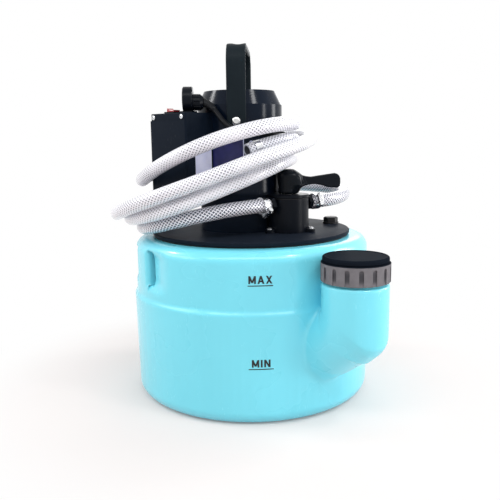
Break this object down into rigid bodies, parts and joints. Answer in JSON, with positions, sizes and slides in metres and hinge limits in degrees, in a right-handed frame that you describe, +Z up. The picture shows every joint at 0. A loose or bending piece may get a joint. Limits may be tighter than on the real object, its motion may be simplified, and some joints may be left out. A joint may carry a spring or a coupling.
{
  "type": "heat exchanger flushing pump",
  "caption": "Flushing pump for descaling heat exchangers: round tank with a fill spout, upright motor and immersed pump, reversing valve with lever, and wound braided hoses.",
  "frame": {"origin": "centre of the tank's base, on the surface it stands on", "axes": "+Z up, along the tank's axis; -Y towards the front with the level marks; +X towards the valve and the spout's side"},
  "size_m": [0.3733, 0.3814, 0.4855],
  "materials": {
    "tank_plastic": "blow-moulded polyethylene, soft gloss",
    "black_plastic": "moulded black plastic, satin",
    "black_matte_plastic": "moulded black plastic, fine grain",
    "black_enamel": "black enamel, glossy",
    "black_powder": "black powder coat, satin",
    "steel": "plain steel",
    "stainless": "stainless steel",
    "laminations": "electrical steel",
    "winding_wire": "enamelled copper wire, lacquered",
    "rotor_metal": "cast aluminium cage round steel",
    "rubber": "soft rubber",
    "hose_wall": "clear-white hose with a braid inside",
    "red_plastic": "red switch plastic",
    "grey_plastic": "grey pump plastic",
    "white_plastic": "white plastic"
  },
  "bodies": {
    "pump_unit": {"tank": "tank_plastic", "plate_gasket": "rubber", "top_plate": "black_powder", "plate_bolts": "black_powder", "plate_washers": "black_powder", "foot_casting": "black_powder", "foot_screws": "steel", "lower_shield": "black_powder", "stator_core": "laminations", "stator_windings": "winding_wire", "upper_shield": "black_powder", "motor_bearings": "steel", "motor_shell": "black_enamel", "fan_cowl": "black_enamel", "carry_handle": "black_matte_plastic", "handle_screws": "steel", "pump_column": "grey_plastic", "pump_casing": "grey_plastic", "shaft_bush": "white_plastic", "suction_strainer": "grey_plastic", "riser_pipe": "grey_plastic", "return_pipe": "grey_plastic", "valve_body": "black_matte_plastic", "valve_gasket": "rubber", "valve_bonnet": "black_matte_plastic", "lug_screws": "stainless", "hose_tails": "black_plastic", "hose_a": "hose_wall", "hose_b": "hose_wall", "port_clamps": "stainless", "end_clamps": "stainless", "control_box": "black_powder", "box_lid": "black_powder", "lid_screws": "stainless", "switch_bezel": "black_plastic", "start_capacitor": "white_plastic", "terminal_block": "white_plastic", "cable_gland": "black_matte_plastic", "gland_nut": "black_matte_plastic", "power_cord": "rubber", "cord_coil": "rubber", "mains_plug": "rubber"},
    "motor_rotor": {"rotor_core": "rotor_metal", "motor_shaft": "steel", "cooling_fan": "black_matte_plastic", "shaft_coupling": "steel", "pump_shaft": "stainless", "impeller": "grey_plastic"},
    "valve_handle": {"valve_lever": "black_plastic", "valve_rotor": "white_plastic", "lever_screw": "steel"},
    "rocker": {"switch_rocker": "red_plastic"},
    "cap_disc": {"cap_seal": "rubber"},
    "screw_cap": {"spout_cap": "black_plastic"}
  },
  "joints": [
    {"name": "motor_spin", "type": "hinge", "parent": "pump_unit", "child": "motor_rotor", "pos_m": [-0.0141, 0.0049, 0], "axis": [0, 0, 1], "continuous": true},
    {"name": "valve_turn", "type": "hinge", "parent": "pump_unit", "child": "valve_handle", "pos_m": [0.0522, -0.036, 0.283], "axis": [0, 0, 1], "range_deg": [-90, 0]},
    {"name": "switch_rock", "type": "hinge", "parent": "pump_unit", "child": "rocker", "pos_m": [-0.105, -0.02997, 0.3945], "axis": [-0.7071, -0.7071, 0], "range_deg": [0, 18]},
    {"name": "cap_lift", "type": "slide", "parent": "pump_unit", "child": "cap_disc", "axis": [0, 0, 1], "range_m": [0, 0.012]},
    {"name": "cap_turn", "type": "hinge", "parent": "cap_disc", "child": "screw_cap", "pos_m": [0.12521, -0.16921, 0.2], "axis": [0, 0, 1], "range_deg": [0, 720]}
  ],
  "couplings": [
    {"joint": "cap_turn", "follows": "cap_lift", "rad_per_m": 1047.2}
  ]
}
